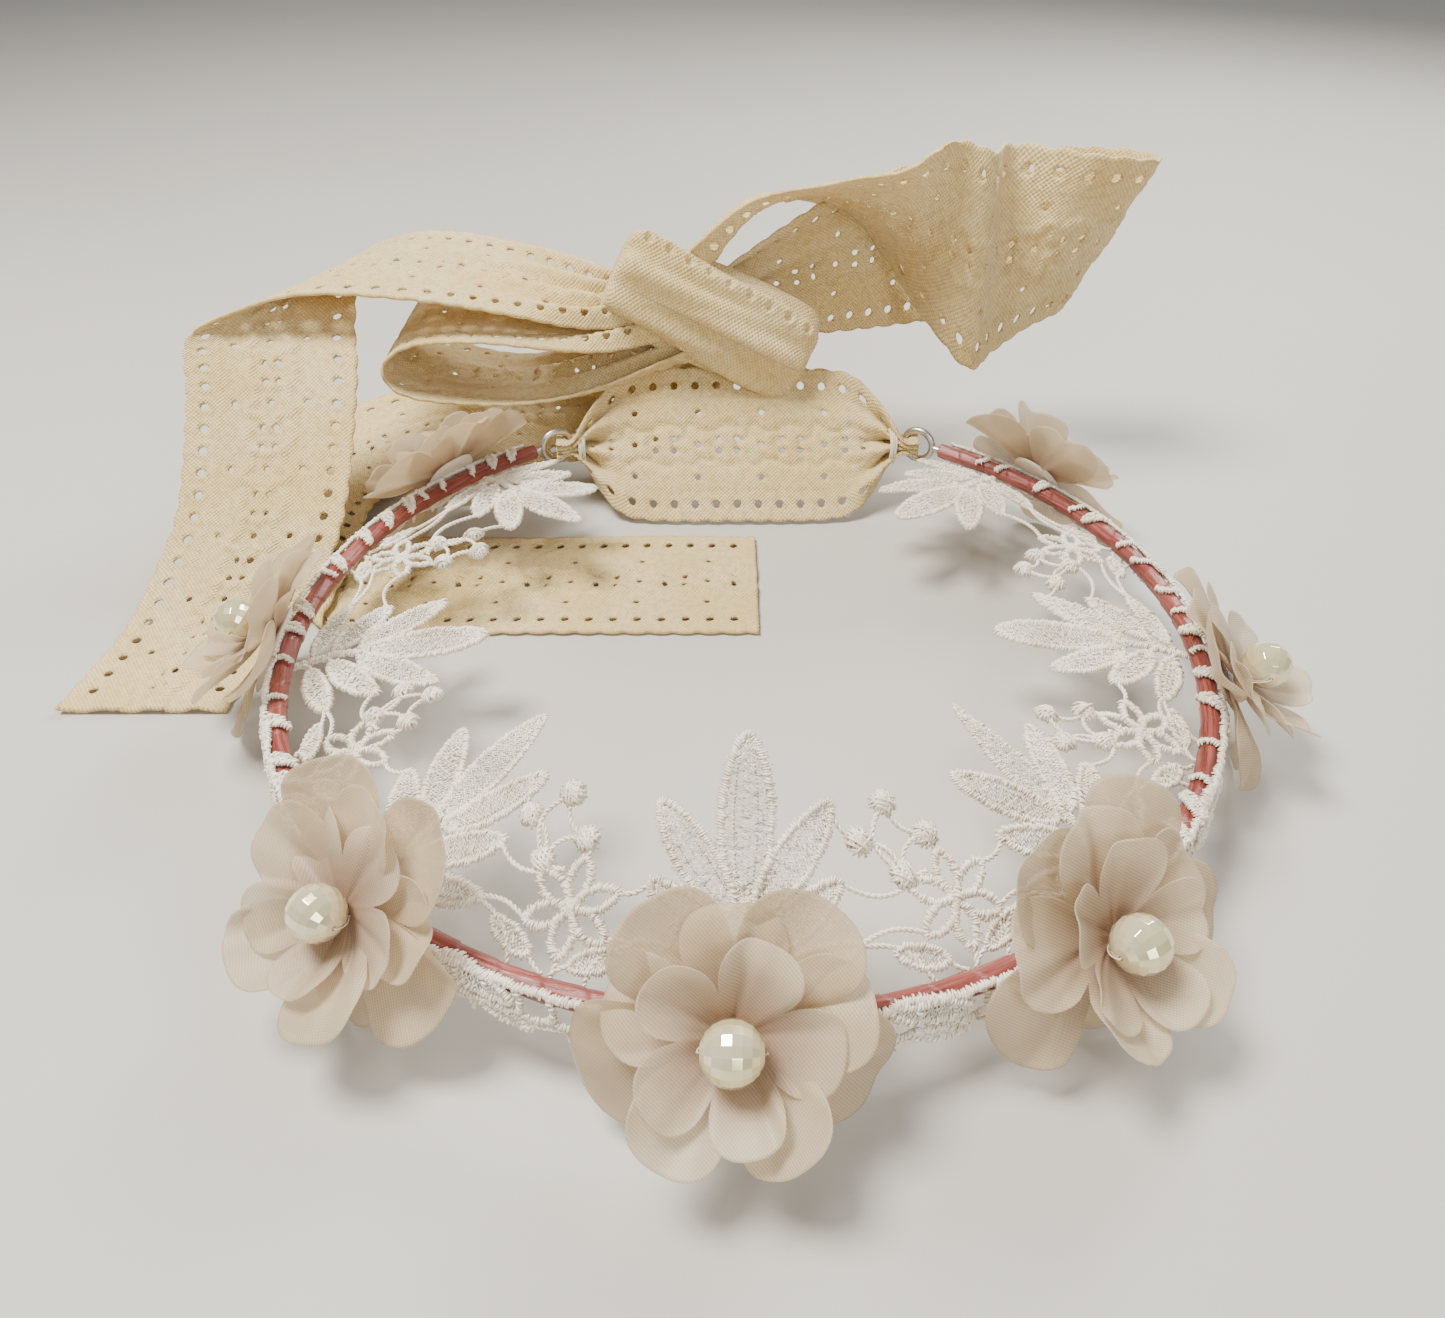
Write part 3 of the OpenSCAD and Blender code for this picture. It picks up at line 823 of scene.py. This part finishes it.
def petal_layer(place, level, r, lift, turn, curl, seed):
    """One die-cut layer: five round lobes, each cupped, folded and rolled on its own."""
    dice = np.random.default_rng(seed)
    spokes, rings = 220, 32
    theta = np.linspace(0, TAU, spokes, endpoint=False)
    lobe = np.floor((theta - turn) / (TAU / LOBES) + 0.5).astype(int)
    alpha = (theta - turn - lobe * TAU / LOBES) / (TAU / (2 * LOBES))
    lobe = lobe % LOBES
    hanging = np.clip(-np.sin(turn + np.arange(LOBES) * TAU / LOBES), 0, 1)
    length = dice.uniform(0.94, 1.04, LOBES)
    if level == 0:
        length = length - 0.14 * hanging ** 4
    length = lobe_values(length, lobe, alpha)
    edge = r * length * (0.4 + 0.6 * np.sqrt(np.clip(1 - np.abs(alpha) ** 2.9, 0, 1)))
    share = np.linspace(0.04, 1, rings)[:, None]
    rho = edge[None, :] * share
    q = rho / r
    bend = dice.uniform(0.1, 0.8, LOBES) * curl
    bend = bend + hanging * (1.3 if level else -0.55 - bend)
    bend = lobe_values(bend, lobe, alpha)

    def draw(low, high):
        return lobe_values(dice.uniform(low, high, LOBES), lobe, alpha)
    cup = draw(0.0, 0.6)
    twist = draw(-0.4, 0.4) * (1 - alpha ** 4)
    roll = draw(-0.6, 1.1)
    height = r * (0.42 * bend * q ** 1.9 + 0.28 * cup * alpha ** 2 * q ** 1.3
                  + 0.3 * twist * alpha * q ** 1.7
                  - 0.16 * roll * (np.clip(share - 0.7, 0, 1) / 0.3) ** 2 * (1 - alpha ** 2))
    for waves, size in ((3, 0.05), (6, 0.028)):
        phase = dice.uniform(0, TAU)
        height = height + r * size * np.sin(waves * theta + phase + 1.6 * q) * q ** 1.5
    crease = draw(-0.5, 0.5)
    depth = draw(0.02, 0.1)
    height = height - r * depth * np.exp(-((alpha - crease) / 0.2) ** 2) * q ** 0.8
    uv = grid_uv(rho * np.cos(theta), rho * np.sin(theta))
    step = np.gradient(rho, axis=0)
    slope = np.arctan2(np.gradient(height, axis=0), step)
    short = np.cumsum(step * np.cos(slope), axis=0)
    short = short - short[:1] + rho[:1]
    rise = np.cumsum(step * np.sin(slope), axis=0)
    height = height[:1] + rise - rise[:1]
    x, y = short * np.cos(theta), short * np.sin(theta)
    centre = place["pearl"] - place["face"] * (place["reach"] - lift)
    verts = (centre + x[..., None] * place["side"] + y[..., None] * place["up"]
             + height[..., None] * place["face"]).reshape(-1, 3)
    low = FLOOR_Z + 0.15
    verts[:, 2] = np.where(verts[:, 2] < low, low + 0.05 * (verts[:, 2] - low), verts[:, 2])
    index = np.arange(rings * spokes).reshape(rings, spokes)
    name = "petals_%s_%s" % (("lower", "middle", "upper")[level], place["name"])
    obj = new_object(name + "_organza", verts, [ring_walls(index), index[:1]], ORGANZA[level],
                     uv=uv)
    skin = obj.modifiers.new("thickness", "SOLIDIFY")
    skin.thickness = 0.12 * MM
    apply_modifiers(obj)
    settle(obj, "crown", name)


def pearl(place):
    """A faceted bead: rings of flat facets round its bore, with a rim at each end."""
    columns, rows = 18, 10
    turn = np.arange(columns) * TAU / columns
    tilt = np.linspace(0, math.pi, rows + 1)[1:-1]
    rim = [(BORE_R, PEARL_R * 0.972), (BORE_R, PEARL_R * 0.82)]
    rings = [(radius, -along) for radius, along in reversed(rim)]
    rings += [(PEARL_R * math.sin(t), -PEARL_R * math.cos(t)) for t in tilt] + rim
    verts = np.concatenate([
        np.stack([np.full(columns, along), radius * np.cos(turn), radius * np.sin(turn)], -1)
        for radius, along in rings])
    index = np.arange(len(verts)).reshape(len(rings), columns)
    caps = np.stack([index[0], index[-1, ::-1]])
    roll = 0.3 + place["phi"] * 1.7
    up = math.cos(roll) * place["up"] + math.sin(roll) * place["face"]
    face = math.cos(roll) * place["face"] - math.sin(roll) * place["up"]
    local = verts @ np.stack([place["side"], up, face])
    obj = new_object("pearl_%s_faceted" % place["name"], local + place["pearl"],
                     [ring_walls(index), caps], PEARL_COAT, smooth=False)
    bevel = obj.modifiers.new("facet_edges", "BEVEL")
    bevel.width = 0.035 * MM
    bevel.limit_method = "NONE"
    apply_modifiers(obj)
    settle(obj, place["body"], "pearl_" + place["name"])


def pearl_threads(places):
    """Fine thread out of each pearl's bore, down against the pearl and into the pad."""
    threads = Threads()
    hug = PEARL_R + 0.16
    for place in places:
        side, face, middle = place["side"], place["face"], place["pearl"]
        through = [middle + side * x for x in np.linspace(-1, 1, 9) * (hug - 0.1)]
        threads.add(np.array(through)[None], THREAD_R)
        for way in (-1, 1):
            path = [middle + way * side * hug * math.cos(t) - face * hug * math.sin(t)
                    for t in np.linspace(0, 1.1, 12)]
            foot = middle - face * (place["reach"] - 2.7) + way * side * 1.6
            path += [path[-1] + (foot - path[-1]) * t for t in (0.35, 0.7, 1)]
            threads.add(np.array(path)[None], THREAD_R, up=place["up"])
    obj = threads.make("pearl_threads_fine", lambda p: p, SEWING_THREAD)
    settle(obj, "crown", "pearl_threads")


def flower_pads(places):
    """Felt discs with soft edges, under the petals."""
    spokes = 40
    verts, walls, caps, count = [], [], [], 0
    profile = [(0, 0.05), (3, 0.0), (5.6, 0.02), (6.0, 0.3), (6.0, 0.5), (5.6, 0.72),
               (3, 0.74), (0.1, 0.72)]
    turn = np.linspace(0, TAU, spokes, endpoint=False)
    for place in places:
        centre = place["pearl"] - place["face"] * (place["reach"] - PAD_LIFT)
        for radius, lift in profile:
            wobble = radius * (1 + 0.02 * np.sin(turn * 5 + place["phi"]))
            verts.append(centre + np.outer(wobble * np.cos(turn), place["side"])
                         + np.outer(wobble * np.sin(turn), place["up"])
                         + lift * place["face"])
        index = np.arange(len(profile) * spokes).reshape(-1, spokes) + count
        a, b = index[:-1], index[1:]
        walls.append(np.stack([a, np.roll(a, -1, 1), np.roll(b, -1, 1), b], -1).reshape(-1, 4))
        caps += [index[0, ::-1], index[-1]]
        count += index.size
    obj = new_object("flower_pads_felt", np.concatenate(verts),
                     [np.concatenate(walls), np.array(caps)], FELT)
    settle(obj, "crown", "flower_pads")


def flowers():
    """Each flower's three layers and pearl, then all the threads and pads."""
    places = flower_places()
    for k, place in enumerate(places):
        turned = math.pi / 5 if place["name"] in ("left", "back_left") else 0
        lower_turn = turned - math.pi / 2
        petal_layer(place, 0, 21.3, 3.4, lower_turn, 0.5, 100 + k)
        petal_layer(place, 1, 18.0, 4.7, lower_turn + 0.63, 0.95, 200 + k)
        petal_layer(place, 2, 14.0, 5.9, lower_turn + 0.25, 1.3, 300 + k)
        pearl(place)
    pearl_threads(places)
    flower_pads(places)


# ---- ribbon

# The runs of ribbon, as in the CAD model: the middle of the ribbon, the direction of its
# width, and its width along that direction as a part of the full width. The runs that
# leave the knot start and end a little deeper inside it.
TIE_HALF = [
    ((43, 70.4, 0), (0, 0, 1), 0.12),
    ((38.5, 70.8, 0), (0, 0.2, 1), 0.12),
    ((32, 70.5, 0), (0, 0.6, 0.8), 0.65),
    ((24, 70.2, 0), (0, 0.6, 0.8), 0.96),
]
TIE_RUN = TIE_HALF + [((0, 70, 0.2), (0, 0.6, 0.8), 1)]
TIE_RUN += [((-x, y, z), across, part) for (x, y, z), across, part in reversed(TIE_HALF)]
LOOP_RIGHT_RUN = [
    ((-14, 82, 33), (0, -1, 0.35), 0.2),
    ((-8, 86, 39), (0, -1, 0.35), 0.4),
    ((4, 92, 49), (0, -1, 0.3), 0.75),
    ((20, 91, 51.5), (0, -0.92, 0.39), 1),
    ((34, 86, 49), (0, -0.75, 0.66), 1),
    ((46, 81, 44), (0, -0.1, 1), 1.15),
    ((54, 79, 39), (0, 0, 1), 1.3),
    ((60, 86, 39.5), (0, 0.1, 1), 1.25),
    ((72, 84, 41.5), (0.2, -0.1, 1), 1.1),
    ((84, 88, 42), (0.45, 0, 1), 1),
    ((83, 98, 41), (0.4, 0.15, 1), 1),
    ((64, 102, 39), (0.1, 0.2, 1), 1),
    ((30, 98, 35), (0, 0.1, 1), 0.95),
    ((-4, 86, 28), (0, 0, 1), 0.5),
    ((-9, 82, 27.5), (0, 0, 1), 0.3),
]
LOOP_LEFT_RUN = [
    ((-12, 82, 28), (0, 0.9, 0.4), 0.2),
    ((-21, 83, 27), (0, 0.9, 0.4), 0.4),
    ((-38, 86, 25), (0, 1, 0.1), 0.8),
    ((-58, 88, 26), (0, 1, 0), 1),
    ((-74, 88, 25), (0, 1, 0), 1),
    ((-81, 88, 19), (0, 1, 0), 1),
    ((-75, 88, 12.5), (0, 1, 0), 1),
    ((-50, 87, 10), (0, 1, 0), 0.85),
    ((-19, 84, 19), (0, 0.8, 0.5), 0.4),
    ((-8, 82, 21), (0, 0.8, 0.5), 0.2),
]
TAIL_LEFT_RUN = [
    ((-22, 82.5, 31), (0, 0.95, 0.3), 0.25),
    ((-32.4, 84.5, 30.5), (0, 0.95, 0.3), 0.5),
    ((-50, 88, 33.5), (0, 1, 0.15), 0.85),
    ((-72, 90, 36.5), (0, 1, 0.1), 1),
    ((-91, 88, 36.5), (0.25, 1, 0), 1),
    ((-101, 82, 33), (0.6, 0.8, 0), 1),
    ((-104, 72, 28), (0.9, 0.4, 0), 1),
    ((-102, 59, 20), (1, 0.1, 0), 1),
    ((-102.5, 39, 2), (1, 0, 0), 1),
    ((-106.5, 26, -8.5), (1, 0, 0), 1),
    ((-111, 13, -13.8), (1, 0, 0), 0.88),
    ((-114, -8, -14.3), (1, 0, 0), 0.88),
]
TAIL_INNER_RUN = [
    ((5, 83, 18), (0, 0.2, 1), 0.2),
    ((-2, 86, 14), (0, 0.2, 1), 0.3),
    ((-20, 92, 3), (0, 0.4, 0.9), 0.6),
    ((-44, 96, -3), (0, 0.85, 0.5), 0.85),
    ((-68, 96, -6), (0, 0.95, 0.3), 1),
    ((-92, 90, -9), (-0.5, 0.85, 0.15), 1),
    ((-104, 72, -11.5), (-0.9, 0.45, 0.05), 1),
    ((-105, 52, -12.2), (-1, 0.5, 0), 1.12),
    ((-105, 37, -12.3), (-1, 1, 0), 1.41),
    ((-104, 35, -14.4), (-1, 1, 0), 1.41),
    ((-88, 34, -14.4), (-0.4, 1, 0), 1.08),
    ((-60, 34, -14.4), (0, 1, 0), 1),
    ((4, 34, -14.4), (0, 1, 0), 1),
]

# The ribbon's grid in mm, its columns, and the pattern's repeats in grid steps.
GRID = 0.72
COLUMNS = 50
EDGE_STEP = 7
MOTIF_STEP = 21


def smooth_run(run):
    """The run's stations joined by a smooth curve: middle, width direction, width part."""
    stations = np.array([[*middle, *across, part] for middle, across, part in run])
    padded = np.concatenate([stations[:1], stations, stations[-1:]])
    t = np.linspace(0, len(run) - 1 - 1e-9, 60 * (len(run) - 1))
    i = t.astype(int)
    f = (t - i)[:, None]
    a, b, c, d = (padded[i + k] for k in range(4))
    return (2 * b + (c - a) * f + (2 * a - 5 * b + 4 * c - d) * f ** 2
            + (3 * b - a - 3 * c + d) * f ** 3) / 2


def lace_relief(s, v):
    """How far the ribbon's face stands out: outlined eyelets, leaves and edge, in mm."""
    step = EDGE_STEP * GRID
    phase = np.mod(s, step) - step / 2
    near = np.hypot(phase, np.abs(v) - 19.5 * GRID)
    rings = 0.34 * np.exp(-((near - 1.55) / 0.42) ** 2)
    hem = 0.3 * np.exp(-((np.abs(v) - 11.3) / 0.45) ** 2)
    motif = MOTIF_STEP * GRID
    along = np.mod(s, motif) - motif / 2
    flower = np.hypot(along, v)
    way = np.arctan2(v, along)
    petals = 0.75 * np.exp(-((flower - 4.4 - np.cos(5 * way)) / 0.8) ** 2)
    other = np.mod(s + motif / 2, motif) - motif / 2
    leaves = 0.7 * np.exp(-((np.abs(v) - 5.2 + 0.3 * np.abs(other)) / 1.0) ** 2
                           - (other / 3.6) ** 4)
    return rings + hem + petals + leaves


def ribbon_grid(length):
    """A flat grid of lace with its eyelets left open: (s, v) points, quads and uv."""
    rows = int(round(length / GRID))
    s, v = np.meshgrid(np.arange(rows + 1.0), np.arange(COLUMNS + 1.0) - COLUMNS // 2,
                       indexing="ij")
    index = np.arange(s.size).reshape(s.shape)
    s_new, v_new = s.copy(), v.copy()
    open_quads = set()
    centres = [(row, column, 1.35) for row in range(4, rows - 2, EDGE_STEP)
               for column in (-20, 20)]
    middle_row = MOTIF_STEP // 2
    centres += [(row, column, 1.0) for row in range(middle_row, rows - 2, MOTIF_STEP)
                for column in (-11, 0, 11)]
    centres += [(row + shift, column, 1.0) for row in range(0, rows, MOTIF_STEP)
                for shift in (-3, 3) for column in (-2, 2) if 2 < row + shift < rows - 2]
    for row, column, hole in centres:
        middle = column + COLUMNS // 2
        for i in range(max(row - 2, 0), min(row + 3, rows + 1)):
            for j in range(middle - 2, middle + 3):
                away = math.hypot(i - row, j - middle)
                if away == 0:
                    continue
                near = max(abs(i - row), abs(j - middle)) == 1
                wanted = hole if near else max(away, hole + 0.7)
                s_new[i, j] = row + (i - row) * wanted / away
                v_new[i, j] = column + (j - middle) * wanted / away
        open_quads.update((i, j) for i in (row - 1, row) for j in (middle - 1, middle))
    quads = [(index[i, j], index[i + 1, j], index[i + 1, j + 1], index[i, j + 1])
             for i in range(rows) for j in range(COLUMNS) if (i, j) not in open_quads]
    return s_new * GRID, v_new * GRID, np.array(quads), rows


def ribbon(name, run, seed, flutter=0.5):
    """A run of cotton lace ribbon: scalloped edges, eyelets, pleats where gathered."""
    dice = np.random.default_rng(seed)
    curve = smooth_run(run)
    arc = np.concatenate([[0], np.cumsum(np.linalg.norm(np.diff(curve[:, :3], axis=0), axis=1))])
    s, v, quads, rows = ribbon_grid(arc[-1])
    where = np.clip(s * arc[-1] / (rows * GRID), 0, arc[-1])
    curve = np.concatenate([curve, unit(np.gradient(curve[:, :3], axis=0))], -1)
    values = np.stack([np.interp(where, arc, column) for column in curve.T], -1)
    middle, across, part, heading = np.split(values, (3, 6, 7), -1)
    across, part = unit(across), part[..., 0]
    face = unit(np.cross(unit(heading), across))
    step = EDGE_STEP * GRID
    scallop = 0.97 + 0.045 * np.clip((np.abs(v) - 14.5) / 3.5, 0, 1) * np.sqrt(
        np.abs(np.sin(np.pi * (s - 0.5 * GRID) / step)))
    gathered = np.clip(1 - part, 0, 1)
    pleats = 4.2 * gathered * np.sin(v / RIBBON_W * TAU * 3.5 + 0.4)
    drift = sum(dice.uniform(0.3, 1) * np.sin(s / dice.uniform(9, 26) + v / dice.uniform(12, 40)
                                              + dice.uniform(0, TAU)) for _ in range(4))
    ease = np.clip(np.minimum(where, arc[-1] - where) / 8, 0, 1)
    lift = lace_relief(s, v) + pleats + flutter * drift * ease * 0.5
    verts = middle + across * (v * part * scallop)[..., None] + face * lift[..., None]
    verts = verts.reshape(-1, 3)
    verts[:, 2] = np.maximum(verts[:, 2], FLOOR_Z + RIBBON_T / 2 + 0.1)
    used = np.unique(quads)
    renumber = np.full(len(verts), -1)
    renumber[used] = np.arange(len(used))
    uv = grid_uv(s, v)[used]
    obj = new_object(name + "_lace", verts[used], [renumber[quads]], COTTON_LACE, uv=uv)
    skin = obj.modifiers.new("thickness", "SOLIDIFY")
    skin.thickness = RIBBON_T * 0.8 * MM
    skin.offset = 0
    apply_modifiers(obj)
    return obj, arc[-1] * MM


def bow_knot():
    """The ribbon drawn over the bow's middle as a gathered sash, and tucked in behind."""
    rows, columns = 220, 130
    turn = np.linspace(0, TAU, rows, endpoint=False)[:, None]
    v = np.linspace(-1, 1, columns)[None, :]
    start, end = np.array([-22, 81, 35.0]), np.array([10, 81, 19.0])
    axis = unit(end - start)
    up = np.array([-axis[2], 0, axis[0]])
    ends = np.clip(1 - np.abs(v) ** 4.2, 0, 1) ** 0.5
    waist = 1 - 0.05 * np.cos(v * math.pi) + 0.04 * np.sin(v * 5)
    folds = (np.sin(turn * 7 + 1.1 * v + 0.9 * np.sin(v * 3.1))
             + 0.4 * np.sin(turn * 13 - 2.6 * v + 1.0) * np.cos(v * 2.3))
    along = 24.5 * np.sin(v * math.pi / 2) + 0 * turn
    around = turn / TAU * 9 + 0.25 * np.sin(v * 2.7)
    cell = np.mod(along / 5.04 + 0.5 * np.mod(np.floor(around), 2), 1) - 0.5
    pit = np.hypot(cell * 5.04, (np.mod(around, 1) - 0.5) * 6.5)
    row = np.mod(np.floor(around), 3) == 1
    eyelets = row * (0.25 * np.exp(-((pit - 1.5) / 0.4) ** 2) - 1.1 * np.exp(-(pit / 0.8) ** 4))
    high = (11.6 + folds + eyelets) * ends * waist
    deep = (6.9 + 0.7 * folds + 0.8 * eyelets) * ends
    place = ((start + end) / 2 + along[..., None] * axis
             + (high * np.sin(turn))[..., None] * up
             + (deep * -np.cos(turn))[..., None] * np.array([0, 1.0, 0]))
    index = np.arange(rows * columns).reshape(rows, columns)
    a, b = index, np.roll(index, -1, 0)
    walls = np.stack([a[:, :-1], a[:, 1:], b[:, 1:], b[:, :-1]], -1).reshape(-1, 4)
    caps = np.stack([index[:, 0], index[::-1, -1]])
    obj = new_object("bow_knot_lace", place.reshape(-1, 3), [walls, caps], COTTON_LACE,
                     uv=grid_uv(along, around * 5.2))
    settle(obj, "crown", "bow_knot")


def ribbons():
    """The five runs of ribbon, and the knot. The left tail rides no body."""
    runs = [("tie_ribbon", TIE_RUN, "stretched", ["band_wire"], 0.15),
            ("bow_loop_right", LOOP_RIGHT_RUN, "folded", ["bow_knot"], 0.7),
            ("bow_loop_left", LOOP_LEFT_RUN, "folded", ["bow_knot"], 0.6),
            ("ribbon_tail_inner", TAIL_INNER_RUN, "laid", ["bow_knot"], 0.35)]
    for k, (name, run, held, rests, flutter) in enumerate(runs):
        obj, length = ribbon(name, run, 40 + k, flutter)
        settle(obj, "crown", name)
    obj, length = ribbon("ribbon_tail_left", TAIL_LEFT_RUN, 50, 0.6)
    settle(obj, None, "ribbon_tail_left")
    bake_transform(obj)
    bow_knot()


# ---- the crown

camera()
floor_and_light()
band_wrap()
lace_heading()
for motif, at_angle in SPRAYS.items():
    lace_spray(motif, at_angle)
for motif, at_angle in BLOSSOMS.items():
    lace_blossom(motif, at_angle)
flowers()
ribbons()
end_bindings()

band_wire = frame["nodes"]["band_wire"]
band_wire.data.materials.clear()
band_wire.data.materials.append(wire_material())
